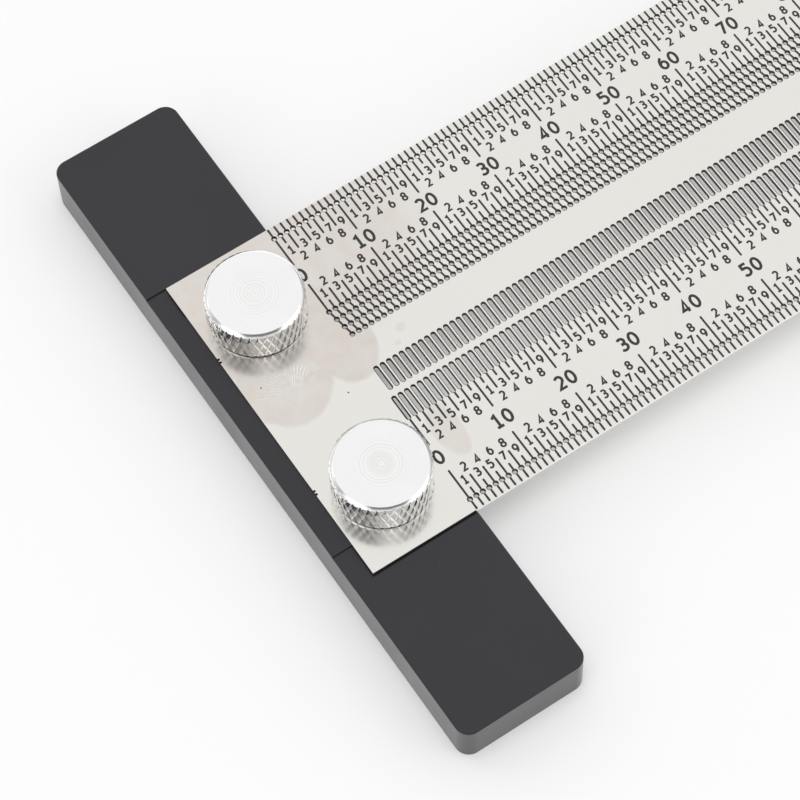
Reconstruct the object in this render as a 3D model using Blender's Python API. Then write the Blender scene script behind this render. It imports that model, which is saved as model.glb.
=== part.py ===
"""Marking T-ruler: a perforated steel blade clamped on a fence bar by two knurled thumb screws.

Metres, +Z up. The origin is the centre of the fence face, which butts against the edge of the work.
+X runs along the blade, away from the bar, and +Y runs along the fence.
"""
from math import cos, floor, pi, sin

import bmesh
import bpy
from mathutils import Matrix, Vector

# Fence bar
BAR_LENGTH = 0.100
BAR_WIDTH = 0.019
BAR_THICKNESS = 0.007
BAR_CORNER_RADIUS = 0.002
BAR_EDGE_BREAK = 0.00015
GROOVE_WIDTH = 0.00515
GROOVE_DEPTH = 0.00025
GROOVE_OUTSET = 0.00015

# Blade
BLADE_LENGTH = 0.200
BLADE_WIDTH = 0.050
BLADE_THICKNESS = 0.0005
BLADE_OVERLAP = 0.016
BLADE_END_MARGIN = 0.0036

# Guide slots, one for each millimetre of the scale, in two rows half a pitch apart
SLOT_PITCH = 0.001
SLOT_WIDTH = 0.00066
SLOT_LENGTH = 0.00405
SLOT_TIP_LENGTH = 0.00022
SLOT_ROW_SPACING = 0.0050
SLOT_ROWS_BELOW_CENTRE = 0.0049

# The blade's faces are divided here, just past the fence face, where it starts to lie on the work
WORK_FACE_START = 0.0006

# Thumb screws
SCREW_FENCE_INSET = 0.0080
SCREW_EDGE_INSET = 0.010
KNOB_DIAMETER = 0.0134
KNOB_HEIGHT = 0.0056
KNOB_RIM_DEPTH = 0.00027
KNOB_RIM_CHAMFER = 0.00027
KNOB_FOOT_CHAMFER = 0.00035
KNURL_DIAMONDS = 38
KNURL_ROWS = 3
KNURL_DEPTH = 0.00025
KNURL_TOP_MARGIN = 0.0005
SHANK_DIAMETER = 0.004
SHANK_TIP_CHAMFER = 0.0005
SHANK_TIP_INSET = 0.0005
SHANK_SIDES = 24
BORE_MOUTH_CHAMFER = 0.0004

# Clearances and construction
SEAT_GAP = 0.0003
BORE_CLEARANCE = 0.0003
CUT_MARGIN = 0.001
CORNER_SEGMENTS = 6

# Heights and places that follow from the sizes
BAR_TOP = BAR_THICKNESS / 2
BAR_BOTTOM = -BAR_THICKNESS / 2
BLADE_BOTTOM = BAR_TOP + SEAT_GAP
BLADE_TOP = BLADE_BOTTOM + BLADE_THICKNESS
KNOB_SEAT = BLADE_TOP + SEAT_GAP
SHANK_LENGTH = KNOB_SEAT - BAR_BOTTOM - SHANK_TIP_INSET
SCREW_X = -SCREW_FENCE_INSET
SCREW_Y = BLADE_WIDTH / 2 - SCREW_EDGE_INSET
BORE_RADIUS = SHANK_DIAMETER / 2 + BORE_CLEARANCE
SLOT_RUN = BLADE_LENGTH - BLADE_OVERLAP - BLADE_END_MARGIN

# Material colour, roughness and metallic value
BLACK_ANODISED = (0.052, 0.052, 0.058, 1.0)
SATIN_STEEL = (0.74, 0.73, 0.71, 1.0)
TURNED_ALUMINIUM = (0.86, 0.86, 0.87, 1.0)


def clear_scene():
    for item in list(bpy.data.objects):
        bpy.data.objects.remove(item, do_unlink=True)


def make_material(name, colour, roughness, metallic):
    material = bpy.data.materials.new(name)
    material.use_nodes = True
    shader = material.node_tree.nodes["Principled BSDF"]
    shader.inputs["Base Color"].default_value = colour
    shader.inputs["Roughness"].default_value = roughness
    shader.inputs["Metallic"].default_value = metallic
    return material


def add_object(name, bm, material=None):
    """Turn a bmesh into a scene object and free the bmesh."""
    mesh = bpy.data.meshes.new(name)
    bmesh.ops.recalc_face_normals(bm, faces=bm.faces)
    bm.to_mesh(mesh)
    bm.free()
    item = bpy.data.objects.new(name, mesh)
    bpy.context.scene.collection.objects.link(item)
    if material:
        mesh.materials.append(material)
    return item


def add_box(bm, low, high):
    """Add a box between two opposite corners."""
    low = Vector(low)
    high = Vector(high)
    size = Matrix.Diagonal((*(high - low), 1.0))
    place = Matrix.Translation((low + high) / 2)
    bmesh.ops.create_cube(bm, size=1.0, matrix=place @ size)


def add_turned_solid(bm, profile, sides, centre=(0.0, 0.0)):
    """Add a closed solid turned about the vertical axis at centre.

    The profile is a list of (radius, height) points from the bottom up.
    """
    rings = []
    for radius, height in profile:
        ring = []
        for step in range(sides):
            angle = 2 * pi * step / sides
            x = centre[0] + radius * cos(angle)
            y = centre[1] + radius * sin(angle)
            ring.append(bm.verts.new((x, y, height)))
        rings.append(ring)
    for lower, upper in zip(rings, rings[1:]):
        for step in range(sides):
            following = (step + 1) % sides
            bm.faces.new((lower[step], lower[following], upper[following], upper[step]))
    bm.faces.new(list(reversed(rings[0])))
    bm.faces.new(rings[-1])


def mark_as_cutter(item):
    item.hide_render = True
    item.display_type = "WIRE"


def add_boolean(item, tool, operation):
    modifier = item.modifiers.new(operation.title(), "BOOLEAN")
    modifier.operation = operation
    modifier.solver = "EXACT"
    modifier.object = tool
    mark_as_cutter(tool)


def shade_round(item):
    item.data.shade_smooth()
    item.data.set_sharp_from_angle(angle=pi / 6)


def groove_cutter():
    """Two shallow grooves across the bar, one under each long edge of the blade."""
    outer = BLADE_WIDTH / 2 + GROOVE_OUTSET
    inner = outer - GROOVE_WIDTH
    bm = bmesh.new()
    for side in (-1, 1):
        near, far = sorted((side * inner, side * outer))
        low = (-BAR_WIDTH - CUT_MARGIN, near, BAR_TOP - GROOVE_DEPTH)
        high = (CUT_MARGIN, far, BAR_TOP + CUT_MARGIN)
        add_box(bm, low, high)
    return add_object("groove_cutter", bm)


def bore_cutter():
    """Two through bores with a chamfered mouth under the bar."""
    mouth_radius = BORE_RADIUS + BORE_MOUTH_CHAMFER
    profile = [
        (mouth_radius + CUT_MARGIN, BAR_BOTTOM - CUT_MARGIN),
        (BORE_RADIUS, BAR_BOTTOM + BORE_MOUTH_CHAMFER),
        (BORE_RADIUS, BLADE_TOP + CUT_MARGIN),
    ]
    bm = bmesh.new()
    for side in (-1, 1):
        add_turned_solid(bm, profile, SHANK_SIDES, (SCREW_X, side * SCREW_Y))
    return add_object("bore_cutter", bm)


def build_head_bar(material, bores):
    """The fence bar: a flat bar with rounded corners, broken edges, grooves and screw bores."""
    bm = bmesh.new()
    half_length = BAR_LENGTH / 2
    add_box(bm, (-BAR_WIDTH, -half_length, BAR_BOTTOM), (0.0, half_length, BAR_TOP))
    upright = [edge for edge in bm.edges if edge.verts[0].co.z != edge.verts[1].co.z]
    bmesh.ops.bevel(bm, geom=upright, offset=BAR_CORNER_RADIUS, offset_type="OFFSET",
                    segments=CORNER_SEGMENTS, profile=0.5, affect="EDGES")
    rims = [edge for edge in bm.edges if edge.verts[0].co.z == edge.verts[1].co.z]
    bmesh.ops.bevel(bm, geom=rims, offset=BAR_EDGE_BREAK, offset_type="OFFSET",
                    segments=1, profile=0.5, affect="EDGES")
    bar = add_object("head_bar", bm, material)
    add_boolean(bar, groove_cutter(), "DIFFERENCE")
    add_boolean(bar, bores, "DIFFERENCE")
    shade_round(bar)
    return bar


def slot_cutter(name, first_x, centre_y):
    """A row of six-sided slots along the scale, made by an Array of the first one."""
    half_width = SLOT_WIDTH / 2
    half_length = SLOT_LENGTH / 2
    shoulder = half_length - SLOT_TIP_LENGTH
    outline = [
        (0.0, -half_length),
        (half_width, -shoulder),
        (half_width, shoulder),
        (0.0, half_length),
        (-half_width, shoulder),
        (-half_width, -shoulder),
    ]
    bm = bmesh.new()
    floor_verts = [bm.verts.new((x, y, BLADE_BOTTOM - CUT_MARGIN)) for x, y in outline]
    base = bm.faces.new(floor_verts)
    raised = bmesh.ops.extrude_face_region(bm, geom=[base])
    raised_verts = [part for part in raised["geom"] if isinstance(part, bmesh.types.BMVert)]
    rise = Vector((0.0, 0.0, BLADE_THICKNESS + 2 * CUT_MARGIN))
    bmesh.ops.translate(bm, verts=raised_verts, vec=rise)
    cutter = add_object(name, bm)
    cutter.location = (first_x, centre_y, 0.0)
    row = cutter.modifiers.new("Row", "ARRAY")
    row.use_relative_offset = False
    row.use_constant_offset = True
    row.constant_offset_displace = (SLOT_PITCH, 0.0, 0.0)
    row.count = 1 + floor((SLOT_RUN - first_x) / SLOT_PITCH)
    return cutter


def build_blade(material, bores):
    """The blade: a thin plate with two rows of guide slots and two screw holes."""
    bm = bmesh.new()
    low = (-BLADE_OVERLAP, -BLADE_WIDTH / 2, BLADE_BOTTOM)
    high = (BLADE_LENGTH - BLADE_OVERLAP, BLADE_WIDTH / 2, BLADE_TOP)
    add_box(bm, low, high)
    everything = bm.verts[:] + bm.edges[:] + bm.faces[:]
    bmesh.ops.bisect_plane(bm, geom=everything, dist=0.00001,
                           plane_co=(WORK_FACE_START, 0.0, 0.0), plane_no=(1.0, 0.0, 0.0))
    blade = add_object("blade", bm, material)
    half_spacing = SLOT_ROW_SPACING / 2
    upper_y = half_spacing - SLOT_ROWS_BELOW_CENTRE
    lower_y = -half_spacing - SLOT_ROWS_BELOW_CENTRE
    add_boolean(blade, slot_cutter("lower_slot_cutter", 0.0, lower_y), "DIFFERENCE")
    add_boolean(blade, slot_cutter("upper_slot_cutter", SLOT_PITCH / 2, upper_y), "DIFFERENCE")
    add_boolean(blade, bores, "DIFFERENCE")
    return blade


def knurled_knob():
    """The knob: a turned head whose side is cut into raised diamonds.

    Crest and root points alternate round each ring and from ring to ring, and every four-sided
    patch is split along its two root points, so the grooves between the diamonds run straight.
    """
    crest = KNOB_DIAMETER / 2
    root = crest - KNURL_DEPTH
    knurl_bottom = KNOB_FOOT_CHAMFER
    knurl_top = KNOB_HEIGHT - KNURL_TOP_MARGIN
    row_height = (knurl_top - knurl_bottom) / KNURL_ROWS
    columns = 2 * KNURL_DIAMONDS
    bm = bmesh.new()

    def ring(height, even_radius, odd_radius):
        verts = []
        for column in range(columns):
            radius = odd_radius if column % 2 else even_radius
            angle = 2 * pi * column / columns
            verts.append(bm.verts.new((radius * cos(angle), radius * sin(angle), height)))
        return verts

    def join(lower, upper, lean):
        for column in range(columns):
            following = (column + 1) % columns
            a, b = lower[column], lower[following]
            c, d = upper[following], upper[column]
            if (column + lean) % 2:
                bm.faces.new((a, b, c))
                bm.faces.new((a, c, d))
            else:
                bm.faces.new((a, b, d))
                bm.faces.new((b, c, d))

    foot = ring(0.0, root - KNOB_FOOT_CHAMFER, root - KNOB_FOOT_CHAMFER)
    knurl = []
    for row in range(KNURL_ROWS + 1):
        even_radius, odd_radius = (crest, root) if row % 2 == 0 else (root, crest)
        knurl.append(ring(knurl_bottom + row * row_height, even_radius, odd_radius))
    rim = ring(KNOB_HEIGHT - KNOB_RIM_DEPTH, root, root)
    top = ring(KNOB_HEIGHT, root - KNOB_RIM_CHAMFER, root - KNOB_RIM_CHAMFER)
    join(foot, knurl[0], 0)
    for row, (lower, upper) in enumerate(zip(knurl, knurl[1:])):
        join(lower, upper, row)
    join(knurl[-1], rim, KNURL_ROWS)
    join(rim, top, 0)
    bm.faces.new(list(reversed(foot)))
    bm.faces.new(top)
    return bm


def shank_tool(name):
    """The plain shank under the knob, which reaches a little way up inside it."""
    radius = SHANK_DIAMETER / 2
    profile = [
        (radius - SHANK_TIP_CHAMFER, -SHANK_LENGTH),
        (radius, SHANK_TIP_CHAMFER - SHANK_LENGTH),
        (radius, KNOB_HEIGHT / 2),
    ]
    bm = bmesh.new()
    add_turned_solid(bm, profile, SHANK_SIDES)
    return add_object(name, bm)


def build_thumb_screw(name, side, material):
    """A one-piece thumb screw, with its origin on its own axis where the knob meets the blade."""
    screw = add_object(name, knurled_knob(), material)
    screw.location = (SCREW_X, side * SCREW_Y, KNOB_SEAT)
    shank = shank_tool(name + "_shank")
    shank.parent = screw
    add_boolean(screw, shank, "UNION")
    return screw


def build():
    clear_scene()
    anodised = make_material("black_anodised", BLACK_ANODISED, 0.45, 0.6)
    steel = make_material("satin_steel", SATIN_STEEL, 0.35, 1.0)
    aluminium = make_material("turned_aluminium", TURNED_ALUMINIUM, 0.25, 1.0)
    bores = bore_cutter()
    build_head_bar(anodised, bores)
    build_blade(steel, bores)
    build_thumb_screw("thumb_screw_upper", 1, aluminium)
    build_thumb_screw("thumb_screw_lower", -1, aluminium)


build()
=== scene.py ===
"""Looks of the marking T-ruler: a perforated steel blade, a black fence bar and two thumb screws.

Metres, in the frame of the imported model: the origin is the centre of the fence face, +X runs along
the blade, +Y along the fence and +Z is up.
"""
from math import ceil, cos, floor, pi, radians, sin

import bmesh
import bpy
from mathutils import Matrix, Quaternion, Vector
from mathutils.geometry import delaunay_2d_cdt


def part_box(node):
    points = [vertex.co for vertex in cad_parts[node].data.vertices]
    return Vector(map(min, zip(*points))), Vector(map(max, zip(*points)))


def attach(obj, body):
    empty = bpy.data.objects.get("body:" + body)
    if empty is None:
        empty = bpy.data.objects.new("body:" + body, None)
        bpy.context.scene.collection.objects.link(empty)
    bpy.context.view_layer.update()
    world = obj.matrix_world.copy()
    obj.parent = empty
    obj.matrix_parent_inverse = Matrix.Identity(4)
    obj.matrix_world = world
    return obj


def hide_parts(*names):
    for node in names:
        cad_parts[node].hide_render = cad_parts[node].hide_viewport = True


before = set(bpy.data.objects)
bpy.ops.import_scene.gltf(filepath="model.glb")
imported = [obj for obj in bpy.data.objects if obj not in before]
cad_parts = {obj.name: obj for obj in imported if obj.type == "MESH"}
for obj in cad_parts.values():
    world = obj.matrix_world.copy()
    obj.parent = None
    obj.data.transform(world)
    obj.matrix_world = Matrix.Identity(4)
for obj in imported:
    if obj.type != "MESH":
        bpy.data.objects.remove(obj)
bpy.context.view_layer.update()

MM = 0.001

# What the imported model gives
BAR_LOW, BAR_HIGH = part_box("head_bar")
BLADE_LOW, BLADE_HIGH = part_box("blade")
SCREW_BOXES = {side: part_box("thumb_screw_" + side) for side in ("upper", "lower")}

# Seats: the pieces touch here, with a hair's breadth left between their faces
CONTACT_GAP = 0.01 * MM
BLADE_THICKNESS = BLADE_HIGH.z - BLADE_LOW.z
BLADE_BOTTOM = BAR_HIGH.z + CONTACT_GAP
BLADE_TOP = BLADE_BOTTOM + BLADE_THICKNESS
KNOB_SEAT = BLADE_TOP + CONTACT_GAP

# How meshes are joined and shaded: a crease is the angle above which an edge stays sharp
TRIANGLES_INSIDE_ONLY = 1
MERGE_DISTANCE = 1e-7
FLAT_FACE_WEIGHT = 100
ROUND_PROFILE = 0.5
BAR_CREASE = radians(30)
BLADE_CREASE = radians(35)
KNURL_CREASE = radians(24)

# Fence bar
BAR_CORNER_RADIUS = 2.0 * MM
BAR_CORNER_SEGMENTS = 14
BAR_RIM_RADIUS = 0.15 * MM
BAR_RIM_SEGMENTS = 4
GROOVE_WIDTH = 5.28 * MM
GROOVE_DEPTH = 0.25 * MM
GROOVE_OUTSET = 0.28 * MM
BORE_RADIUS = 2.3 * MM
BORE_MOUTH_CHAMFER = 0.4 * MM
BORE_SIDES = 64
CUT_MARGIN = 1.0 * MM
CUT_EDGE_BREAK = 0.03 * MM
CUT_EDGE_SEGMENTS = 2
CUT_EDGE_ANGLE = radians(40)

# Scale: one mark for each millimetre, and a large numeral at every tenth
SCALE_PITCH = 1.0 * MM
SCALE_MARKS = 181
NUMERAL_MARKS = 10

# Slots and holes that guide the pencil, with their rows as heights above the centre line
SLOT_WIDTH = 0.60 * MM
SLOT_LENGTH = 3.99 * MM
SLOT_END_POINTS = 9
LOWER_SLOT_ROW = -7.4 * MM
UPPER_SLOT_ROW = -2.4 * MM
HOLE_RADIUS = 0.33 * MM
HOLE_POINTS = 14
RIM_WIDTH = 0.085 * MM
RIM_DROP = 0.012 * MM
EDGE_HOLE_INSET = 1.70 * MM
HONEYCOMB_TOP = 9.81 * MM
HONEYCOMB_ROW_STEP = 1.50 * MM
HONEYCOMB_ROWS = 4
HONEYCOMB_SHIFT = 0.25 * MM

# Two pairs of small bites in the blade's near edge
NICK_HEIGHTS = (11.75 * MM, -11.4 * MM)
NICK_SPACING = 0.52 * MM
NICK_RADIUS = 0.18 * MM
NICK_DEPTH = 0.30 * MM
NICK_STEPS = 6

# Printed marks
MARK_TOP = BLADE_TOP + 0.008 * MM
MARK_BOTTOM = BLADE_TOP - 0.010 * MM
TICK_WIDTH = 0.29 * MM
TICK_END_POINTS = 5
LINK_WIDTH = 0.30 * MM
SMALL_DIGIT_SIZE = (0.90 * MM, 1.44 * MM)
SMALL_STROKE = 0.28 * MM
LARGE_DIGIT_SIZE = (1.42 * MM, 2.22 * MM)
LARGE_STROKE = 0.40 * MM
LARGE_DIGIT_PITCH = 1.64 * MM
LARGE_ROWS = (-16.05 * MM, 16.56 * MM)

# A stroke is closed if its ends lie nearer than this share of its half width
CLOSED_STROKE_GAP = 0.1

# The least cosine of a stroke's turn for which its mitre still grows
MITRE_LIMIT = 0.5

# How far from its base line each scale has its odd digits, and the rest measured from those
OUTER_ODD_DIGITS = 4.40 * MM
LOWER_INNER_ODD_DIGITS = 2.29 * MM
UPPER_INNER_ODD_DIGITS = 2.82 * MM
ODD_TICK_END = -1.21 * MM
EVEN_TICK_END = 0.32 * MM
TEN_TICK_END = 2.30 * MM
EVEN_DIGITS = 1.63 * MM

# Thumb screws
KNOB_RADIUS = 6.7 * MM
KNOB_HEIGHT = 5.6 * MM
KNOB_TOP_RADIUS = 6.18 * MM
KNOB_TOP_CHAMFER = 0.50 * MM
KNOB_TOP_SLOPE = 1.45
KNOB_TOP_INNER_RING = 6.0 * MM
KNOB_FOOT_CHAMFER = 0.40 * MM
KNOB_FOOT_RELIEF = 0.12 * MM
KNOB_FOOT_RADIUS = 5.8 * MM
KNOB_FOOT_STEP = 0.005 * MM
CHAMFER_STEPS = 7
KNURL_DIAMONDS = 38
KNURL_ROWS = 1.5
KNURL_DEPTH = 0.17 * MM
KNURL_STEPS = 14
KNURL_GROOVE_SHARE = 0.19
THREAD_RADIUS = 2.0 * MM
THREAD_DEPTH = 0.40 * MM
THREAD_PITCH = 0.7 * MM
THREAD_COLUMNS = 48
THREAD_STEPS = 8
THREAD_SPARE_TURNS = 2
THREAD_TIP_CHAMFER = 0.5 * MM

# What a noise pattern mostly stays between, and how little it changes a metal's tone
NOISE_RANGE = (0.3, 0.7)
TONE_RANGE = (0.985, 1.015)

# Black anodised aluminium, with dust in a few of the cells of a pattern
ANODISED_TONES = ((0.0095, 0.0090, 0.0130, 1.0), (0.0155, 0.0145, 0.0200, 1.0))
ANODISED_ROUGHNESS = (0.27, 0.34)
ANODISED_IOR = 1.5
DUST_CELLS = 380.0
DUST_REACH = (0.030, 0.045)
DUST_FREE_SHARE = 0.93
DUST_STRENGTH = 0.55
DUST_COLOUR = (0.30, 0.30, 0.30, 1.0)

# Bright steel, and the dark surfaces of its openings and its print
STEEL_TONES = ((0.790, 0.777, 0.735, 1.0), (0.802, 0.790, 0.752, 1.0))
STEEL_ROUGHNESS = (0.165, 0.185)
DARK_OPENING_TONES = ((0.007, 0.006, 0.006, 1.0), (0.020, 0.018, 0.017, 1.0))
INK_TONES = ((0.014, 0.014, 0.014, 1.0), (0.030, 0.030, 0.030, 1.0))

# Stains on the blade: centre, radii, softness of the edge and strength
STAINS = (
    ((-10.5 * MM, 4.5 * MM), (6.2 * MM, 6.9 * MM), 0.06, 0.85),
    ((-1.3 * MM, 7.0 * MM), (4.8 * MM, 8.3 * MM), 0.05, 0.95),
    ((-4.0 * MM, 18.0 * MM), (22.0 * MM, 13.0 * MM), 0.25, 0.80),
    ((3.3 * MM, -13.3 * MM), (2.0 * MM, 4.3 * MM), 0.12, 0.65),
    ((6.5 * MM, 2.7 * MM), (0.8 * MM, 0.7 * MM), 0.30, 0.50),
    ((4.9 * MM, 1.0 * MM), (0.5 * MM, 0.4 * MM), 0.40, 0.50),
)
STAIN_GREY = (0.695, 0.655, 0.615, 1.0)
STAIN_WARM = (0.690, 0.630, 0.580, 1.0)
STAIN_WARMTH_EDGE = (0.4, 0.6)
STAIN_MOTTLE = (0.8, 1.05)
STAIN_ROUGHNESS = 0.05
STAIN_WANDER = 0.9 * MM
SPECKS = ((-13.53 * MM, 5.33 * MM), (-4.45 * MM, -1.65 * MM))
SPECK_RADIUS = 0.11 * MM
SPECK_SOFTNESS = 0.3
SPECK_COLOUR = (0.04, 0.04, 0.04, 1.0)

# Fingerprint: ridges that fan out from a point, pressed hard in one place and faint about it
PRINT_FAN_CENTRE = (-10.3 * MM, 2.4 * MM)
PRINT_RIDGES = 46
PRINT_RIDGE_EDGE = (-0.1, 0.7)
PRINT_WANDER = 5.0
PRINT_BREAK_EDGE = (0.38, 0.55)
PRINT_AREAS = (
    ((-8.9 * MM, 4.1 * MM), (1.9 * MM, 1.5 * MM), 0.45, 0.95),
    ((-10.4 * MM, 3.1 * MM), (4.2 * MM, 3.0 * MM), 0.35, 0.40),
)
PRINT_COLOUR = (0.84, 0.83, 0.80, 1.0)

# Turned aluminium: bright and dull tones, then values for an upright face and for a level one
ALUMINIUM_TONES = ((0.900, 0.902, 0.900, 1.0), (0.815, 0.800, 0.780, 1.0))
UPRIGHT_TO_LEVEL = (0.5, 0.9)
ALUMINIUM_ROUGHNESS = (0.12, 0.18)
ALUMINIUM_GRAIN = (4.0, 0.4)

# Rings that the lathe left on the knobs
RING_PITCH = 0.44 * MM
RING_WANDER = 4.0
RING_EDGE = (0.2, 1.0)
RING_STRENGTH = 0.75
RING_FADE = (1.9 * MM, 4.0 * MM)
RING_FADED_SHARE = 0.15

# How strongly each knob's middle is stained, and the painted shade round its foot, where it meets the
# blade
MIDDLE_STAIN_RIM = (1.35 * MM, 1.90 * MM)
MIDDLE_STAIN_CORE = (0.20 * MM, 0.90 * MM)
MIDDLE_STAIN = {"upper": 0.10, "lower": 0.50}
# Painted shade: a dark colour for the knob's lowest band, in place of the shade where it meets the
# blade
FOOT_PAINTED_SHADE = (0.080, 0.075, 0.070, 1.0)
FOOT_PAINTED_SHADE_HEIGHT = 0.22 * MM

# Camera, with its target on the blade's top face
CAMERA_TARGET = Vector((0.498 * MM, -6.365 * MM, BLADE_TOP))
CAMERA_DISTANCE = 415.379 * MM
CAMERA_AZIMUTH = radians(31.170)
CAMERA_ELEVATION = radians(62.823)
CAMERA_ROLL = radians(-2.774)
CAMERA_LENS = 143.538
CAMERA_SENSOR = 36.0
CAMERA_NEAREST = 0.01
CAMERA_FARTHEST = 50.0

# Room
FLOOR_SIZE = 8.0
FLOOR_COLOUR = (0.60, 0.60, 0.60, 1.0)
FLOOR_ROUGHNESS = 0.9
FLOOR_GLOW = 0.24
FLOOR_GLOW_REFLECTED = 0.45
SKY_BRIGHTNESS = 1.0
SKY_DARKEST = 0.06
HORIZON_BRIGHTNESS = 0.42
HORIZON_START = radians(6)
HORIZON_END = radians(20)

# Parts of the sky that differ: azimuth, elevation, inner and outer radius, change in brightness
SKY_SPOTS = (
    (radians(0), radians(90), radians(9), radians(18), 0.15),
    (radians(21), radians(60), radians(25), radians(55), -0.28),
    (radians(100), radians(58), radians(12), radians(26), -0.42),
    (radians(-7), radians(41), radians(6), radians(15), -0.52),
    (radians(21), radians(42), radians(6), radians(15), -0.52),
    (radians(49), radians(41), radians(6), radians(15), -0.52),
    (radians(120), radians(27), radians(9), radians(19), -0.50),
    (radians(152), radians(9), radians(24), radians(42), 0.30),
    (radians(76), radians(26), radians(13), radians(24), 0.60),
    (radians(-39), radians(26), radians(17), radians(28), 0.60),
)
LAMP_SIZE = 0.8
LAMP_DISTANCE = 1.4
LAMP_DIRECTION = Vector((-0.10, -0.06, 1.0))
LAMP_RADIANCE = 4.0


# Mesh helpers


def add_object(name, mesh, material):
    """Add a mesh as a scene object with one material."""
    item = bpy.data.objects.new(name, mesh)
    bpy.context.scene.collection.objects.link(item)
    mesh.materials.append(material)
    return item


def finish_bmesh(name, bm):
    """Turn a bmesh into a mesh with its faces pointing out, and free it."""
    bmesh.ops.recalc_face_normals(bm, faces=bm.faces)
    mesh = bpy.data.meshes.new(name)
    bm.to_mesh(mesh)
    bm.free()
    return mesh


def apply_modifiers(item):
    """Put the object's modifiers into its mesh."""
    graph = bpy.context.evaluated_depsgraph_get()
    mesh = bpy.data.meshes.new_from_object(item.evaluated_get(graph))
    item.modifiers.clear()
    item.data = mesh


def shade_round(item, crease):
    """Shade smooth up to an angle, with flat faces kept flat beside their rounded rims."""
    item.data.shade_smooth()
    item.data.set_sharp_from_angle(angle=crease)
    weights = item.modifiers.new("Flat faces", "WEIGHTED_NORMAL")
    weights.keep_sharp = True
    weights.weight = FLAT_FACE_WEIGHT
    apply_modifiers(item)


def place(item, body, slot, *nodes):
    """Let a piece ride on a body and stand for CAD nodes; the slot is not used."""
    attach(item, body)
    if nodes:
        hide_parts(*nodes)


def add_box(bm, low, high):
    """Add a box between its lowest and highest corners."""
    size = Matrix.Diagonal((*(high - low), 1.0))
    bmesh.ops.create_cube(bm, size=1.0, matrix=Matrix.Translation((low + high) / 2) @ size)


def round_edges(bm, edges, radius, segments):
    """Round some edges off."""
    bmesh.ops.bevel(bm, geom=edges, offset=radius, offset_type="OFFSET", segments=segments,
                    profile=ROUND_PROFILE, affect="EDGES")


def circle_points(centre_x, centre_y, radius, count):
    """Points round a circle, anticlockwise."""
    points = []
    for step in range(count):
        angle = 2 * pi * step / count
        points.append((centre_x + radius * cos(angle), centre_y + radius * sin(angle)))
    return points


def capsule_points(centre_x, low_y, high_y, width, end_points):
    """Points round an upright bar with round ends, anticlockwise."""
    radius = width / 2
    points = []
    for centre_y, start in ((high_y - radius, 0.0), (low_y + radius, pi)):
        for step in range(end_points):
            angle = start + pi * step / (end_points - 1)
            points.append((centre_x + radius * cos(angle), centre_y + radius * sin(angle)))
    return points


def triangulate(points, edges, outlines):
    """Triangles inside closed edges or outlines, and what each new point and triangle came from."""
    result = delaunay_2d_cdt(points, edges, outlines, TRIANGLES_INSIDE_ONLY, MERGE_DISTANCE)
    new_points, _, triangles, point_sources, _, triangle_sources = result
    return new_points, triangles, point_sources, triangle_sources


def rim_edges(triangles):
    """The edges that only one triangle uses, in that triangle's direction."""
    edges = set()
    for a, b, c in triangles:
        edges.update(((a, b), (b, c), (c, a)))
    return [(a, b) for a, b in sorted(edges) if (b, a) not in edges]


# Shader helpers


def add_node(tree, kind, inputs, **options):
    """Add a shader node. An input is a value or another node's socket, by name or by place."""
    node = tree.nodes.new("ShaderNode" + kind)
    for option, value in options.items():
        setattr(node, option, value)
    for key, value in inputs.items():
        if isinstance(value, bpy.types.NodeSocket):
            tree.links.new(value, node.inputs[key])
        else:
            node.inputs[key].default_value = value
    return node


def calculate(tree, operation, *operands):
    """The result of a calculation with numbers."""
    return add_node(tree, "Math", dict(enumerate(operands)), operation=operation).outputs[0]


def calculate_vector(tree, operation, *operands):
    """The results of a calculation with vectors: a vector in place 0 and a number named Value."""
    return add_node(tree, "VectorMath", dict(enumerate(operands)), operation=operation).outputs


def separate(tree, vector):
    """A vector's three parts."""
    return add_node(tree, "SeparateXYZ", {0: vector}).outputs


def remap(tree, value, low, high, to_low, to_high, smooth=False):
    """Scale a value from one range to another, held at the ends."""
    inputs = {0: value, 1: low, 2: high, 3: to_low, 4: to_high}
    kind = "SMOOTHSTEP" if smooth else "LINEAR"
    return add_node(tree, "MapRange", inputs, interpolation_type=kind).outputs[0]


def mix_colours(tree, factor, first, second, kind="MIX"):
    """Mix two colours, which a Mix node takes in its places 6 and 7 and gives in its place 2."""
    inputs = {0: factor, 6: first, 7: second}
    node = add_node(tree, "Mix", inputs, data_type="RGBA", blend_type=kind)
    return node.outputs[2]


def noise(tree, position, scale, detail=2.0, rough=0.5, output=0):
    """A noise pattern with a number of cells to the metre."""
    inputs = {"Vector": position, "Scale": scale, "Detail": detail, "Roughness": rough}
    return add_node(tree, "TexNoise", inputs).outputs[output]


def grey(value):
    """A grey as a colour."""
    return (value, value, value, 1.0)


def new_material(name, metallic=0.0, roughness=0.5):
    """A material with its node tree, its main shader and its object coordinates."""
    material = bpy.data.materials.new(name)
    material.use_nodes = True
    tree = material.node_tree
    shader = tree.nodes["Principled BSDF"]
    shader.inputs["Roughness"].default_value = roughness
    shader.inputs["Metallic"].default_value = metallic
    position = tree.nodes.new("ShaderNodeTexCoord").outputs["Object"]
    return material, tree, shader, position


def set_bump(tree, shader, height, distance):
    """Let a pattern raise the surface by up to a distance."""
    bump = add_node(tree, "Bump", {"Height": height, "Distance": distance, "Strength": 1.0})
    tree.links.new(bump.outputs[0], shader.inputs["Normal"])


# Materials


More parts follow.
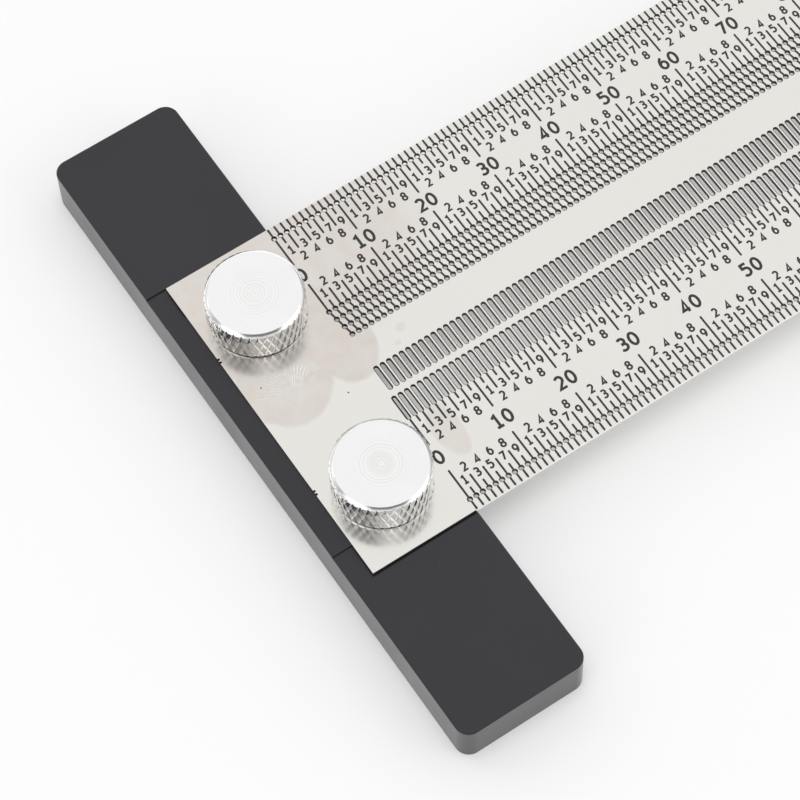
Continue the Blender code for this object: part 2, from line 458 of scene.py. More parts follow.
def black_anodised():
    """Fine blasted aluminium, anodised black, with a few specks of pale dust."""
    material, tree, shader, position = new_material("black_anodised")
    shader.inputs["IOR"].default_value = ANODISED_IOR
    cloud = noise(tree, position, scale=90.0, detail=3.0)
    shade = mix_colours(tree, cloud, *ANODISED_TONES)

    cells = add_node(tree, "TexVoronoi", {"Vector": position, "Scale": DUST_CELLS}).outputs
    chance = add_node(tree, "SeparateColor", {0: cells["Color"]}).outputs[0]
    chosen = calculate(tree, "GREATER_THAN", chance, DUST_FREE_SHARE)
    speck = remap(tree, cells["Distance"], *DUST_REACH, 1.0, 0.0)
    speck = calculate(tree, "MULTIPLY", speck, chosen)
    speck = calculate(tree, "MULTIPLY", speck, DUST_STRENGTH)
    tree.links.new(mix_colours(tree, speck, shade, DUST_COLOUR), shader.inputs["Base Color"])

    rough = remap(tree, cloud, *NOISE_RANGE, *ANODISED_ROUGHNESS)
    tree.links.new(rough, shader.inputs["Roughness"])
    grain = noise(tree, position, scale=5200.0, detail=3.0, rough=0.6)
    set_bump(tree, shader, grain, distance=0.006 * MM)
    return material


def touch_mark(tree, position, centre, radii, softness):
    """One inside an ellipse on the blade, falling to zero over its soft edge."""
    offset = calculate_vector(tree, "SUBTRACT", position, (*centre, 0.0))[0]
    scaled = calculate_vector(tree, "MULTIPLY", offset, (1 / radii[0], 1 / radii[1], 0.0))[0]
    reach = calculate_vector(tree, "LENGTH", scaled)["Value"]
    return remap(tree, reach, 1 - softness, 1 + softness, 1.0, 0.0, smooth=True)


def touch_marks(tree, position, marks):
    """The strongest of several touch marks at each point."""
    total = 0.0
    for centre, radii, softness, strength in marks:
        mark = touch_mark(tree, position, centre, radii, softness)
        total = calculate(tree, "MAXIMUM", calculate(tree, "MULTIPLY", mark, strength), total)
    return total


def wandering(tree, position):
    """The position moved a little to and fro, so that the edge of a stain wanders."""
    wander = noise(tree, position, scale=260.0, output="Color")
    shift = calculate_vector(tree, "SUBTRACT", wander, (0.5, 0.5, 0.5))[0]
    return calculate_vector(tree, "MULTIPLY_ADD", shift, (STAIN_WANDER,) * 3, position)[0]


def fingerprint(tree, position):
    """One on the ridges of a fingerprint and zero between them, broken here and there."""
    offset = calculate_vector(tree, "SUBTRACT", position, (*PRINT_FAN_CENTRE, 0.0))[0]
    parts = separate(tree, offset)
    turn = calculate(tree, "ARCTAN2", parts[1], parts[0])
    drift = noise(tree, position, scale=300.0, detail=1.0)
    drift = remap(tree, drift, 0.0, 1.0, -PRINT_WANDER, PRINT_WANDER)
    phase = calculate(tree, "ADD", calculate(tree, "MULTIPLY", turn, PRINT_RIDGES), drift)
    ridge = remap(tree, calculate(tree, "SINE", phase), *PRINT_RIDGE_EDGE, 0.0, 1.0)
    broken = remap(tree, noise(tree, position, scale=1100.0), *PRINT_BREAK_EDGE, 0.0, 1.0)
    return calculate(tree, "MULTIPLY", ridge, broken)


def satin_steel():
    """Bright rolled steel, fine in grain, with warm stains where it was handled and a fingerprint."""
    material, tree, shader, position = new_material("satin_steel", metallic=1.0)
    grain = noise(tree, position, scale=6500.0, rough=0.6)
    cloud = noise(tree, position, scale=45.0)
    fine = remap(tree, grain, *NOISE_RANGE, *TONE_RANGE)
    colour = mix_colours(tree, 1.0, mix_colours(tree, cloud, *STEEL_TONES), fine, "MULTIPLY")

    warped = wandering(tree, position)
    mottle = noise(tree, position, scale=420.0, detail=3.0, rough=0.6)
    mottle = remap(tree, mottle, *NOISE_RANGE, *STAIN_MOTTLE)
    stain = calculate(tree, "MULTIPLY", touch_marks(tree, warped, STAINS), mottle)
    warmth = remap(tree, noise(tree, position, scale=330.0), *STAIN_WARMTH_EDGE, 0.0, 1.0)
    colour = mix_colours(tree, stain, colour, mix_colours(tree, warmth, STAIN_GREY, STAIN_WARM))

    pressed = touch_marks(tree, warped, PRINT_AREAS)
    ridge = calculate(tree, "MULTIPLY", fingerprint(tree, position), pressed)
    colour = mix_colours(tree, ridge, colour, PRINT_COLOUR)
    for centre in SPECKS:
        speck = touch_mark(tree, position, centre, (SPECK_RADIUS, SPECK_RADIUS), SPECK_SOFTNESS)
        colour = mix_colours(tree, speck, colour, SPECK_COLOUR)
    tree.links.new(colour, shader.inputs["Base Color"])

    rough = remap(tree, cloud, *NOISE_RANGE, *STEEL_ROUGHNESS)
    rougher = calculate(tree, "MULTIPLY", stain, STAIN_ROUGHNESS)
    tree.links.new(calculate(tree, "ADD", rough, rougher), shader.inputs["Roughness"])
    set_bump(tree, shader, grain, distance=0.0007 * MM)
    return material


def patchy_surface(name, tones, roughness, scale, distance):
    """A dull surface whose tone and height vary in small patches."""
    material, tree, shader, position = new_material(name, roughness=roughness)
    patch = noise(tree, position, scale)
    tree.links.new(mix_colours(tree, patch, *tones), shader.inputs["Base Color"])
    set_bump(tree, shader, patch, distance)
    return material


def burnt_steel():
    """The dark walls and rims of the openings."""
    return patchy_surface("burnt_steel", DARK_OPENING_TONES, roughness=0.6, scale=4200.0, distance=0.003 * MM)


def mark_ink():
    """Dark etched print, a little uneven."""
    return patchy_surface("mark_ink", INK_TONES, roughness=0.55, scale=3500.0, distance=0.002 * MM)


def lathe_bands(tree, radius, along):
    """The broad rings on a knob's top, which fade outwards."""
    drift = noise(tree, along, scale=1200.0)
    drift = remap(tree, drift, 0.0, 1.0, -RING_WANDER, RING_WANDER)
    turns = calculate(tree, "MULTIPLY", radius, 2 * pi / RING_PITCH)
    wave = calculate(tree, "SINE", calculate(tree, "ADD", turns, drift))
    bands = remap(tree, wave, *RING_EDGE, 0.0, RING_STRENGTH, smooth=True)
    near = remap(tree, radius, *RING_FADE, 1.0, RING_FADED_SHARE, smooth=True)
    return calculate(tree, "MULTIPLY", bands, near)


def middle_stain(tree, radius, strength):
    """A dull ring about the middle of a knob's top."""
    rim = remap(tree, radius, *MIDDLE_STAIN_RIM, strength, 0.0, smooth=True)
    core = remap(tree, radius, *MIDDLE_STAIN_CORE, 0.0, 1.0, smooth=True)
    return calculate(tree, "MULTIPLY", rim, core)


def turned_aluminium(side, seed):
    """Lathe-turned aluminium, with the rings that the tool left about the axis, and painted shade round
    the foot.
    """
    material, tree, shader, position = new_material("turned_aluminium_" + side, metallic=1.0)
    flat = calculate_vector(tree, "MULTIPLY", position, (1.0, 1.0, 0.0))[0]
    radius = calculate_vector(tree, "LENGTH", flat)["Value"]
    along = add_node(tree, "CombineXYZ", {0: radius, 1: seed}).outputs[0]
    bands = lathe_bands(tree, radius, along)
    dull = calculate(tree, "MAXIMUM", bands, middle_stain(tree, radius, MIDDLE_STAIN[side]))
    tone = mix_colours(tree, dull, *ALUMINIUM_TONES)

    grain = noise(tree, position, scale=7000.0)
    fine = remap(tree, grain, *NOISE_RANGE, *TONE_RANGE)
    uneven = remap(tree, noise(tree, position, scale=300.0), *NOISE_RANGE, *TONE_RANGE)
    tone = mix_colours(tree, 1.0, tone, calculate(tree, "MULTIPLY", fine, uneven), "MULTIPLY")
    # Painted shade: the lowest band of the knob, just above the blade, is darkened as contact shade
    middle = FOOT_PAINTED_SHADE_HEIGHT / 2
    height = separate(tree, position)[2]
    foot = calculate(tree, "COMPARE", height, middle, middle + KNOB_FOOT_STEP)
    tree.links.new(mix_colours(tree, foot, tone, FOOT_PAINTED_SHADE), shader.inputs["Base Color"])

    facing = tree.nodes.new("ShaderNodeNewGeometry").outputs["True Normal"]
    level = calculate(tree, "ABSOLUTE", separate(tree, facing)[2])
    rough = remap(tree, level, *UPRIGHT_TO_LEVEL, *ALUMINIUM_ROUGHNESS)
    tree.links.new(rough, shader.inputs["Roughness"])
    coarse = remap(tree, level, *UPRIGHT_TO_LEVEL, *ALUMINIUM_GRAIN)
    rings = noise(tree, along, scale=5200.0, detail=3.0, rough=0.6)
    relief = calculate(tree, "ADD", rings, calculate(tree, "MULTIPLY", grain, coarse))
    set_bump(tree, shader, relief, distance=0.0012 * MM)
    return material


def pale_floor():
    """Plain pale floor that looks near white to the camera and in reflections, and takes shadows."""
    material, tree, shader, _ = new_material("pale_floor", roughness=FLOOR_ROUGHNESS)
    shader.inputs["Base Color"].default_value = FLOOR_COLOUR
    shader.inputs["Specular IOR Level"].default_value = 0.0
    shader.inputs["Emission Color"].default_value = grey(1.0)
    path = tree.nodes.new("ShaderNodeLightPath").outputs
    seen = calculate(tree, "MULTIPLY", path["Is Camera Ray"], FLOOR_GLOW)
    mirrored = calculate(tree, "MAXIMUM", path["Is Glossy Ray"], path["Is Transmission Ray"])
    mirrored = calculate(tree, "MULTIPLY", mirrored, FLOOR_GLOW_REFLECTED)
    glow = calculate(tree, "MAXIMUM", seen, mirrored)
    tree.links.new(glow, shader.inputs["Emission Strength"])
    return material


# Fence bar


def screw_centre(side):
    """The thumb screw's axis, from the middle of its CAD box."""
    low, high = SCREW_BOXES[side]
    return (low.x + high.x) / 2, (low.y + high.y) / 2


def groove_tool():
    """Two shallow grooves across the bar, one under each long edge of the blade."""
    outer = BLADE_HIGH.y + GROOVE_OUTSET
    inner = outer - GROOVE_WIDTH
    bm = bmesh.new()
    for side in (-1, 1):
        near, far = sorted((side * inner, side * outer))
        low = Vector((BAR_LOW.x - CUT_MARGIN, near, BAR_HIGH.z - GROOVE_DEPTH))
        high = Vector((BAR_HIGH.x + CUT_MARGIN, far, BAR_HIGH.z + CUT_MARGIN))
        add_box(bm, low, high)
    return finish_bmesh("groove_tool", bm)


def bore_tool():
    """Two through bores with a chamfered mouth under the bar."""
    profile = [
        (BORE_RADIUS + BORE_MOUTH_CHAMFER + CUT_MARGIN, BAR_LOW.z - CUT_MARGIN),
        (BORE_RADIUS, BAR_LOW.z + BORE_MOUTH_CHAMFER),
        (BORE_RADIUS, BAR_HIGH.z + CUT_MARGIN),
    ]
    bm = bmesh.new()
    for side in SCREW_BOXES:
        centre_x, centre_y = screw_centre(side)
        rings = []
        for radius, height in profile:
            points = circle_points(centre_x, centre_y, radius, BORE_SIDES)
            rings.append([bm.verts.new((x, y, height)) for x, y in points])
        for lower, upper in zip(rings, rings[1:]):
            for step in range(BORE_SIDES):
                after = (step + 1) % BORE_SIDES
                bm.faces.new((lower[step], lower[after], upper[after], upper[step]))
        bm.faces.new(rings[0][::-1])
        bm.faces.new(rings[-1])
    return finish_bmesh("bore_tool", bm)


def is_upright(edge):
    """Whether an edge of the bar runs up its side."""
    return abs(edge.verts[0].co.z - edge.verts[1].co.z) > BAR_CORNER_RADIUS


def build_bar(material):
    """The bar with round corners, softened rims, grooves and bores."""
    bm = bmesh.new()
    add_box(bm, BAR_LOW, BAR_HIGH)
    upright = [edge for edge in bm.edges if is_upright(edge)]
    round_edges(bm, upright, BAR_CORNER_RADIUS, BAR_CORNER_SEGMENTS)
    rims = [edge for edge in bm.edges if not is_upright(edge)]
    round_edges(bm, rims, BAR_RIM_RADIUS, BAR_RIM_SEGMENTS)
    bar = add_object("fence_bar", finish_bmesh("fence_bar", bm), material)
    tools = []
    for mesh in (groove_tool(), bore_tool()):
        tool = add_object(mesh.name, mesh, material)
        tools.append(tool)
        cut = bar.modifiers.new("Cut", "BOOLEAN")
        cut.operation = "DIFFERENCE"
        cut.solver = "EXACT"
        cut.object = tool
    soften = bar.modifiers.new("Soften", "BEVEL")
    soften.width = CUT_EDGE_BREAK
    soften.segments = CUT_EDGE_SEGMENTS
    soften.limit_method = "ANGLE"
    soften.angle_limit = CUT_EDGE_ANGLE
    apply_modifiers(bar)
    for tool in tools:
        bpy.data.objects.remove(tool)
    shade_round(bar, BAR_CREASE)
    place(bar, "ruler", "head_bar", "head_bar")


# Blade


def marks_from(first_x):
    """How many marks a row has: the last one stays on the scale."""
    return SCALE_MARKS - ceil(first_x / SCALE_PITCH)


def blade_outline():
    """The blade's outer edge, anticlockwise, with two pairs of bites in the near edge."""
    points = [
        (BLADE_LOW.x, BLADE_LOW.y),
        (BLADE_HIGH.x, BLADE_LOW.y),
        (BLADE_HIGH.x, BLADE_HIGH.y),
        (BLADE_LOW.x, BLADE_HIGH.y),
    ]
    for middle in sorted(NICK_HEIGHTS, reverse=True):
        for centre_y in (middle + NICK_SPACING / 2, middle - NICK_SPACING / 2):
            centre_x = BLADE_LOW.x + NICK_DEPTH - NICK_RADIUS
            points.append((BLADE_LOW.x, centre_y + NICK_RADIUS))
            for step in range(NICK_STEPS + 1):
                angle = pi / 2 - pi * step / NICK_STEPS
                x = centre_x + NICK_RADIUS * cos(angle)
                y = centre_y + NICK_RADIUS * sin(angle)
                points.append((x, y))
            points.append((BLADE_LOW.x, centre_y - NICK_RADIUS))
    return points


def hole_rows():
    """Each row of round holes as its first X and its Y."""
    rows = [
        (0.0, BLADE_LOW.y + EDGE_HOLE_INSET),
        (0.0, BLADE_HIGH.y - EDGE_HOLE_INSET),
    ]
    for row in range(HONEYCOMB_ROWS):
        rows.append((row * HONEYCOMB_SHIFT, HONEYCOMB_TOP - row * HONEYCOMB_ROW_STEP))
    return rows


def blade_openings(rim):
    """The outline of every opening in the blade, the slots and holes wider all round by a rim."""
    openings = []
    for first_x, centre_y in ((0.0, LOWER_SLOT_ROW), (SCALE_PITCH / 2, UPPER_SLOT_ROW)):
        low_y = centre_y - SLOT_LENGTH / 2 - rim
        high_y = centre_y + SLOT_LENGTH / 2 + rim
        width = SLOT_WIDTH + 2 * rim
        for mark in range(marks_from(first_x)):
            x = first_x + mark * SCALE_PITCH
            openings.append(capsule_points(x, low_y, high_y, width, SLOT_END_POINTS))
    for first_x, y in hole_rows():
        for mark in range(marks_from(first_x)):
            x = first_x + mark * SCALE_PITCH
            openings.append(circle_points(x, y, HOLE_RADIUS + rim, HOLE_POINTS))
    for side in SCREW_BOXES:
        openings.append(circle_points(*screw_centre(side), BORE_RADIUS, BORE_SIDES))
    return openings


def join_loops(loops):
    """The points of all loops, the edges along them and the number of each point's loop."""
    points = []
    edges = []
    owner = []
    for number, loop in enumerate(loops):
        first = len(points)
        points.extend(loop)
        owner.extend([number] * len(loop))
        for step in range(len(loop)):
            edges.append((first + step, first + (step + 1) % len(loop)))
    return points, edges, owner


def sheet_triangles(points, edges, owner):
    """Triangles over the blade without those in its openings, and each new point's old number."""
    _, found, sources, _ = triangulate([Vector(point) for point in points], edges, [])
    origins = [source[0] for source in sources]
    triangles = []
    for corners in found:
        loops = {owner[origins[corner]] for corner in corners}
        if len(loops) > 1 or loops == {0}:
            triangles.append(tuple(corners))
    return triangles, origins


def build_blade(steel, dark_opening):
    """The blade, cut through at every slot and hole, with a dark rim and wall in each opening."""
    points, edges, owner = join_loops([blade_outline()] + blade_openings(RIM_WIDTH))
    narrow_points, _, _ = join_loops([blade_outline()] + blade_openings(0.0))
    triangles, origins = sheet_triangles(points, edges, owner)

    # The openings are wide at the top face, and narrow from the foot of their rim downwards
    count = len(origins)
    drop = BLADE_TOP - RIM_DROP
    levels = (points, BLADE_TOP), (narrow_points, drop), (narrow_points, BLADE_BOTTOM)
    verts = []
    for level_points, height in levels:
        verts.extend((*level_points[origin], height) for origin in origins)
    faces = list(triangles)
    faces.extend((2 * count + c, 2 * count + b, 2 * count + a) for a, b, c in triangles)
    finish = [0] * len(faces)
    for a, b in rim_edges(triangles):
        for level in (0, count):
            faces.append((level + count + a, level + count + b, level + b, level + a))
            finish.append(1 if owner[origins[a]] else 0)
    mesh = bpy.data.meshes.new("ruler_blade")
    mesh.from_pydata(verts, [], faces)
    mesh.materials.append(steel)
    blade = add_object("ruler_blade", mesh, dark_opening)
    mesh.polygons.foreach_set("material_index", finish)
    mesh.update()
    shade_round(blade, BLADE_CREASE)
    place(blade, "ruler", "blade", "blade")


# Marks


class MarkSet:
    """Printed marks: flat closed slabs in the blade's top face, gathered into one mesh."""

    def __init__(self):
        self.verts = []
        self.faces = []

    def add(self, points, triangles):
        """Add a mark from its points and anticlockwise triangles."""
        top = len(self.verts)
        bottom = top + len(points)
        self.verts.extend((x, y, MARK_TOP) for x, y in points)
        self.verts.extend((x, y, MARK_BOTTOM) for x, y in points)
        for a, b, c in triangles:
            self.faces.append((top + a, top + b, top + c))
            self.faces.append((bottom + c, bottom + b, bottom + a))
        for a, b in rim_edges(triangles):
            self.faces.append((bottom + a, bottom + b, top + b, top + a))

    def add_convex(self, points):
        """Add a mark from the points round a convex outline."""
        self.add(points, [(0, step, step + 1) for step in range(1, len(points) - 1)])

    def add_digit(self, template, x, y):
        """Add a digit with its middle at a place."""
        points, triangles = template
        self.add([(x + dx, y + dy) for dx, dy in points], triangles)

    def finish(self, name, material):
        """Put the marks on the blade as one piece."""
        mesh = bpy.data.meshes.new(name)
        mesh.from_pydata(self.verts, [], self.faces)
        mesh.update()
        place(add_object(name, mesh, material), "ruler", "blade")


def arc(centre_x, centre_y, radius_x, radius_y, start, end, steps):
    """Points along an ellipse between two angles in degrees."""
    points = []
    for step in range(steps + 1):
        angle = radians(start + (end - start) * step / steps)
        points.append((centre_x + radius_x * cos(angle), centre_y + radius_y * sin(angle)))
    return points


def digit_strokes():
    """The centre lines of the ten digits, each in a box that runs from -0.5 to 0.5 both ways."""
    six_bowl = arc(0.0, -0.18, 0.48, 0.32, 180, 540, 16)
    six_stem = arc(0.22, -0.16, 0.70, 0.66, 100, 182, 6)
    upper_bow = arc(-0.05, 0.25, 0.46, 0.25, 140, -90, 10)
    lower_bow = arc(-0.05, -0.23, 0.52, 0.27, 90, -145, 10)
    five_bowl = arc(-0.07, -0.17, 0.55, 0.33, 125, -145, 12)
    return [
        [arc(0.0, 0.0, 0.5, 0.5, 0, 360, 20)],
        [[(-0.45, 0.33), (0.03, 0.5), (0.03, -0.5)], [(-0.45, -0.5), (0.5, -0.5)]],
        [arc(-0.02, 0.20, 0.46, 0.30, 150, -25, 9) + [(-0.47, -0.5), (0.5, -0.5)]],
        [upper_bow + [(-0.2, 0.0)], [(-0.2, 0.04)] + lower_bow],
        [[(0.5, -0.26), (-0.5, -0.26), (0.24, 0.5), (0.24, -0.5)]],
        [[(0.4, 0.5), (-0.38, 0.5), (-0.4, 0.06)], five_bowl],
        [six_bowl, six_stem],
        [[(-0.5, 0.5), (0.5, 0.5), (-0.12, -0.5)]],
        [arc(0.0, 0.26, 0.42, 0.24, 0, 360, 14), arc(0.0, -0.24, 0.5, 0.26, 0, 360, 16)],
        [[(-x, -y) for x, y in six_bowl], [(-x, -y) for x, y in six_stem]],
    ]


def stroke_sections(points, half_width):
    """Pairs of points left and right of a centre line, mitred where it turns."""
    line = [Vector(point) for point in points]
    closed = (line[0] - line[-1]).length < half_width * CLOSED_STROKE_GAP
    sections = []
    for index, point in enumerate(line):
        if 0 < index < len(line) - 1:
            before, after = line[index - 1], line[index + 1]
        elif closed:
            before, after = line[-2], line[1]
        else:
            before = point if index == 0 else line[index - 1]
            after = line[1] if index == 0 else point
        arriving = (point - before).normalized()
        leaving = (after - point).normalized()
        heading = (arriving + leaving).normalized()
        side = Vector((-heading.y, heading.x))
        lean = max(abs(heading.dot(leaving)), abs(heading.dot(arriving)), MITRE_LIMIT)
        offset = side * (half_width / lean)
        sections.append((point + offset, point - offset))
    return sections


def digit_template(strokes, size, stroke_width):
    """One digit as flat points and triangles, with its crossing strokes joined."""
    span_x = size[0] - stroke_width
    span_y = size[1] - stroke_width
    points = []
    outlines = []
    for stroke in strokes:
        scaled = [(x * span_x, y * span_y) for x, y in stroke]
        first = len(points)
        sections = stroke_sections(scaled, stroke_width / 2)
        for left, right in sections:
            points.extend((left, right))
        for number in range(len(sections) - 1):
            left = first + 2 * number
            outlines.append((left, left + 1, left + 3, left + 2))
    new_points, found, _, sources = triangulate(points, [], outlines)
    triangles = [tuple(corners) for corners, source in zip(found, sources) if source]
    return [tuple(point) for point in new_points], triangles


def scales():
    """The four scales: base line, direction, first digits, and how far holes hold the ticks off."""
    slot_tips = LOWER_SLOT_ROW - SLOT_LENGTH / 2
    return [
        (BLADE_LOW.y, 1, OUTER_ODD_DIGITS, EDGE_HOLE_INSET),
        (slot_tips, -1, LOWER_INNER_ODD_DIGITS, None),
        (HONEYCOMB_TOP, 1, UPPER_INNER_ODD_DIGITS, 0.0),
        (BLADE_HIGH.y, -1, OUTER_ODD_DIGITS, EDGE_HOLE_INSET),
    ]


def tick_reach(mark):
    """Where a mark's tick ends, measured from the odd digits."""
    if mark % NUMERAL_MARKS == 0:
        return TEN_TICK_END
    return ODD_TICK_END if mark % 2 else EVEN_TICK_END


def build_ticks(material):
    """The ticks of the four scales, broken where they cross a hole."""
    marks = MarkSet()
    for base, direction, odd_digits, hole in scales():
        for mark in range(SCALE_MARKS):
            x = mark * SCALE_PITCH
            end = odd_digits + tick_reach(mark)
            spans = [(0.0, end)]
            if hole is not None:
                spans = [(0.0, hole - HOLE_RADIUS), (hole + HOLE_RADIUS, end)]
            for start, stop in spans:
                if stop <= start:
                    continue
                low_y, high_y = sorted((base + direction * start, base + direction * stop))
                marks.add_convex(capsule_points(x, low_y, high_y, TICK_WIDTH, TICK_END_POINTS))
    marks.finish("scale_ticks", material)


def build_links(material):
    """Slanted lines that join each hole of the honeycomb to the next one down."""
    marks = MarkSet()
    for row in range(HONEYCOMB_ROWS - 1):
        top = Vector((row * HONEYCOMB_SHIFT, HONEYCOMB_TOP - row * HONEYCOMB_ROW_STEP))
        step = Vector((HONEYCOMB_SHIFT, -HONEYCOMB_ROW_STEP))
        heading = step.normalized()
        side = Vector((-heading.y, heading.x)) * (LINK_WIDTH / 2)
        start = top + heading * HOLE_RADIUS
        end = top + step - heading * HOLE_RADIUS
        corners = (end + side, end - side, start - side, start + side)
        for mark in range(marks_from((row + 1) * HONEYCOMB_SHIFT)):
            marks.add_convex([(corner.x + mark * SCALE_PITCH, corner.y) for corner in corners])
    marks.finish("hole_links", material)


def build_small_numerals(material):
    """A digit at every mark between the tens, odd ones nearer the base line."""
    templates = [digit_template(strokes, SMALL_DIGIT_SIZE, SMALL_STROKE) for strokes in digit_strokes()]
    marks = MarkSet()
    for base, direction, odd_digits, _ in scales():
        for mark in range(1, SCALE_MARKS):
            digit = mark % NUMERAL_MARKS
            if digit == 0:
                continue
            row = odd_digits if digit % 2 else odd_digits + EVEN_DIGITS
            marks.add_digit(templates[digit], mark * SCALE_PITCH, base + direction * row)
    marks.finish("small_numerals", material)


def build_large_numerals(material):
    """The tens along both halves of the blade."""
    templates = [digit_template(strokes, LARGE_DIGIT_SIZE, LARGE_STROKE) for strokes in digit_strokes()]
    marks = MarkSet()
    for row in LARGE_ROWS:
        for mark in range(0, SCALE_MARKS, NUMERAL_MARKS):
            text = str(mark)
            start = mark * SCALE_PITCH - LARGE_DIGIT_PITCH * (len(text) - 1) / 2
            for number, letter in enumerate(text):
                marks.add_digit(templates[int(letter)], start + number * LARGE_DIGIT_PITCH, row)
    marks.finish("large_numerals", material)


# Thumb screws


def knurl_radius(turn, rise):
    """The knurled side's radius, with turn and rise counted in diamonds round and up the knob."""
    nearest = min(abs(value - round(value)) for value in (turn + rise, turn - rise))
    return KNOB_RADIUS - KNURL_DEPTH * max(0.0, 1.0 - nearest / KNURL_GROOVE_SHARE)


def knob_profile(height):
    """How far out the turned blank reaches at a height, before the knurl is cut into it."""
    if height < KNOB_FOOT_RELIEF:
        return KNOB_FOOT_RADIUS
    foot_limit = KNOB_RADIUS - KNOB_FOOT_CHAMFER + height
    share = min((KNOB_HEIGHT - height) / KNOB_TOP_CHAMFER, 1.0)
    lead = KNOB_TOP_SLOPE * KNOB_TOP_CHAMFER
    bend = KNOB_RADIUS - KNOB_TOP_RADIUS - lead
    top_limit = KNOB_TOP_RADIUS + lead * share + bend * share ** 2
    return min(foot_limit, top_limit)


def knob_heights():
    """Heights of the knob's rings: close together in the chamfers, even on the knurl."""
    levels = [
        (0.0, 1),
        (KNOB_FOOT_RELIEF - KNOB_FOOT_STEP, 1),
        (KNOB_FOOT_RELIEF, CHAMFER_STEPS),
        (KNOB_FOOT_CHAMFER, round(KNURL_ROWS * KNURL_STEPS)),
        (KNOB_HEIGHT - KNOB_TOP_CHAMFER, CHAMFER_STEPS),
        (KNOB_HEIGHT, 1),
    ]
    heights = []
    for (low, steps), (high, _) in zip(levels, levels[1:]):
        heights += [low + (high - low) * step / steps for step in range(steps)]
    return heights + [KNOB_HEIGHT]


def add_knurl_faces(bm, corners, turn, rise):
    """Fill a small square of the side with two triangles, split along the nearer groove."""
    a, b, c, d = corners
    falling = abs(turn + rise - round(turn + rise))
    rising = abs(turn - rise - round(turn - rise))
    if falling < rising:
        bm.faces.new((a, b, d))
        bm.faces.new((b, c, d))
    else:
        bm.faces.new((a, b, c))
        bm.faces.new((a, c, d))


def add_knob(bm):
    """Add the knob, open under its foot, where the shank joins it."""
    columns = KNURL_DIAMONDS * KNURL_STEPS
    knurl_span = KNOB_HEIGHT - KNOB_TOP_CHAMFER - KNOB_FOOT_CHAMFER
    rings = []
    rises = []
    for height in knob_heights():
        rise = (height - KNOB_FOOT_CHAMFER) / knurl_span * KNURL_ROWS
        ring = []
        for column in range(columns):
            radius = min(knurl_radius(column / KNURL_STEPS, rise), knob_profile(height))
            angle = 2 * pi * column / columns
            ring.append(bm.verts.new((radius * cos(angle), radius * sin(angle), height)))
        rings.append(ring)
        rises.append(rise)
    for number, (lower, upper) in enumerate(zip(rings, rings[1:])):
        rise = (rises[number] + rises[number + 1]) / 2
        for column in range(columns):
            after = (column + 1) % columns
            corners = lower[column], lower[after], upper[after], upper[column]
            add_knurl_faces(bm, corners, (column + 0.5) / KNURL_STEPS, rise)
    inner = []
    for x, y in circle_points(0.0, 0.0, KNOB_TOP_INNER_RING, columns):
        inner.append(bm.verts.new((x, y, KNOB_HEIGHT)))
    for column in range(columns):
        after = (column + 1) % columns
        bm.faces.new((rings[-1][column], rings[-1][after], inner[after], inner[column]))
    bm.faces.new(inner)


def add_thread(bm, length):
    """Add the threaded shank below height zero, open at the top, with a chamfered tip."""
    turns = length / THREAD_PITCH + THREAD_SPARE_TURNS
    rows = ceil(turns * THREAD_STEPS)
    bottom = -length - THREAD_PITCH
    rings = []
    for row in range(rows + 1):
        ring = []
        for column in range(THREAD_COLUMNS):
            climb = row / THREAD_STEPS + column / THREAD_COLUMNS
            height = bottom + climb * THREAD_PITCH - THREAD_PITCH / 2
            crest = 2 * abs(row / THREAD_STEPS - floor(row / THREAD_STEPS) - 0.5)
            radius = THREAD_RADIUS - THREAD_DEPTH * (1 - crest)
            radius = min(radius, THREAD_RADIUS - THREAD_TIP_CHAMFER + max(0.0, height + length))
            angle = 2 * pi * column / THREAD_COLUMNS
            ring.append(bm.verts.new((radius * cos(angle), radius * sin(angle), height)))
        rings.append(ring)
    for number in range(rows):
        for column in range(THREAD_COLUMNS - 1):
            lower, upper = rings[number], rings[number + 1]
            bm.faces.new((lower[column], lower[column + 1], upper[column + 1], upper[column]))

    # The last column meets the first one a whole turn higher up
    last = THREAD_COLUMNS - 1
    for number in range(rows - THREAD_STEPS):
        lower, upper = rings[number], rings[number + 1]
        lower_next, upper_next = rings[number + THREAD_STEPS], rings[number + 1 + THREAD_STEPS]
        bm.faces.new((lower[last], lower_next[0], upper_next[0], upper[last]))
    for height, keep in ((0.0, 1.0), (-length, -1.0)):
        everything = bm.verts[:] + bm.edges[:] + bm.faces[:]
        bmesh.ops.bisect_plane(bm, geom=everything, dist=MERGE_DISTANCE, plane_co=(0.0, 0.0, height),
                               plane_no=(0.0, 0.0, keep), clear_outer=True)
    tip = [edge for edge in bm.edges if edge.is_boundary and edge.verts[0].co.z < -length / 2]
    bmesh.ops.triangle_fill(bm, edges=tip, use_beauty=True)


def build_thumb_screw(side, material):
    """A thumb screw on its own axis, turned in one piece: knob, knurl and threaded shank."""
    length = KNOB_SEAT - SCREW_BOXES[side][0].z
    bm = bmesh.new()
    add_thread(bm, length)
    add_knob(bm)
    joint = [edge for edge in bm.edges if edge.is_boundary]
    bmesh.ops.triangle_fill(bm, edges=joint, use_beauty=True)
    screw = add_object("screw_" + side, finish_bmesh("screw_" + side, bm), material)
    screw.location = (*screw_centre(side), KNOB_SEAT)
    shade_round(screw, KNURL_CREASE)
    place(screw, side + "_screw", "thumb_screw", "thumb_screw_" + side)


# Room, light and camera


def build_room():
    """A plain pale floor under the bar."""
    bm = bmesh.new()
    bmesh.ops.create_grid(bm, x_segments=1, y_segments=1, size=FLOOR_SIZE / 2)
    floor_sheet = add_object("floor", finish_bmesh("floor", bm), pale_floor())
    floor_sheet.location = (0.0, 0.0, BAR_LOW.z)


def towards(azimuth, elevation):
    """Unit vector to a place in the sky, with azimuth measured from -Y towards -X."""
    return Vector((
        -sin(azimuth) * cos(elevation),
        -cos(azimuth) * cos(elevation),
        sin(elevation),
    ))


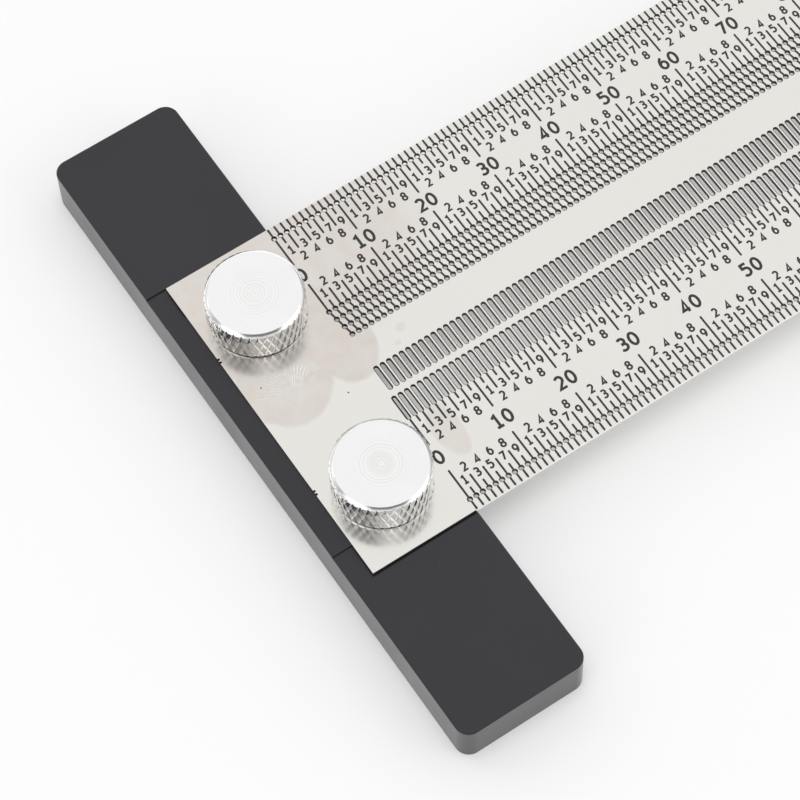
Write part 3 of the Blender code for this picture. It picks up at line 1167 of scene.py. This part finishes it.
def build_sky():
    """A bright sky that darkens towards the horizon, with darker and brighter parts."""
    world = bpy.data.worlds.new("studio")
    bpy.context.scene.world = world
    world.use_nodes = True
    tree = world.node_tree
    direction = tree.nodes.new("ShaderNodeTexCoord").outputs["Generated"]
    height = separate(tree, direction)[2]
    strength = remap(tree, height, sin(HORIZON_START), sin(HORIZON_END), HORIZON_BRIGHTNESS,
                     SKY_BRIGHTNESS, smooth=True)
    for azimuth, elevation, inner, outer, change in SKY_SPOTS:
        spot = calculate_vector(tree, "DOT_PRODUCT", direction, towards(azimuth, elevation))["Value"]
        spot = remap(tree, spot, cos(outer), cos(inner), 0.0, change, smooth=True)
        strength = calculate(tree, "ADD", spot, strength)
    strength = calculate(tree, "MAXIMUM", strength, SKY_DARKEST)
    background = tree.nodes["Background"]
    tree.links.new(strength, background.inputs["Strength"])
    background.inputs["Color"].default_value = grey(1.0)


def build_lamp():
    """A broad soft lamp above the ruler, which metal doesn't mirror."""
    data = bpy.data.lights.new("soft_lamp", "AREA")
    data.size = LAMP_SIZE
    data.energy = LAMP_RADIANCE * pi * LAMP_SIZE ** 2
    lamp = bpy.data.objects.new("soft_lamp", data)
    bpy.context.scene.collection.objects.link(lamp)
    side = LAMP_DIRECTION.normalized()
    lamp.location = side * LAMP_DISTANCE
    lamp.rotation_euler = side.to_track_quat("Z", "Y").to_euler()
    lamp.visible_glossy = False


def build_camera():
    """The camera where the picture was taken from."""
    back = towards(CAMERA_AZIMUTH, CAMERA_ELEVATION)
    data = bpy.data.cameras.new("camera")
    data.sensor_width = CAMERA_SENSOR
    data.lens = CAMERA_LENS
    data.clip_start = CAMERA_NEAREST
    data.clip_end = CAMERA_FARTHEST
    camera = bpy.data.objects.new("camera", data)
    bpy.context.scene.collection.objects.link(camera)
    camera.location = CAMERA_TARGET + back * CAMERA_DISTANCE
    roll = Quaternion((0.0, 0.0, 1.0), CAMERA_ROLL)
    camera.rotation_euler = ((-back).to_track_quat("-Z", "Y") @ roll).to_euler()
    bpy.context.scene.camera = camera


def build():
    """Make every piece, then the room, its light and the camera."""
    ink = mark_ink()
    build_bar(black_anodised())
    build_blade(satin_steel(), burnt_steel())
    build_ticks(ink)
    build_links(ink)
    build_small_numerals(ink)
    build_large_numerals(ink)
    for seed, side in enumerate(SCREW_BOXES):
        build_thumb_screw(side, turned_aluminium(side, seed))
    build_room()
    build_sky()
    build_lamp()
    build_camera()


build()
bpy.context.scene.view_settings.view_transform = "Standard"
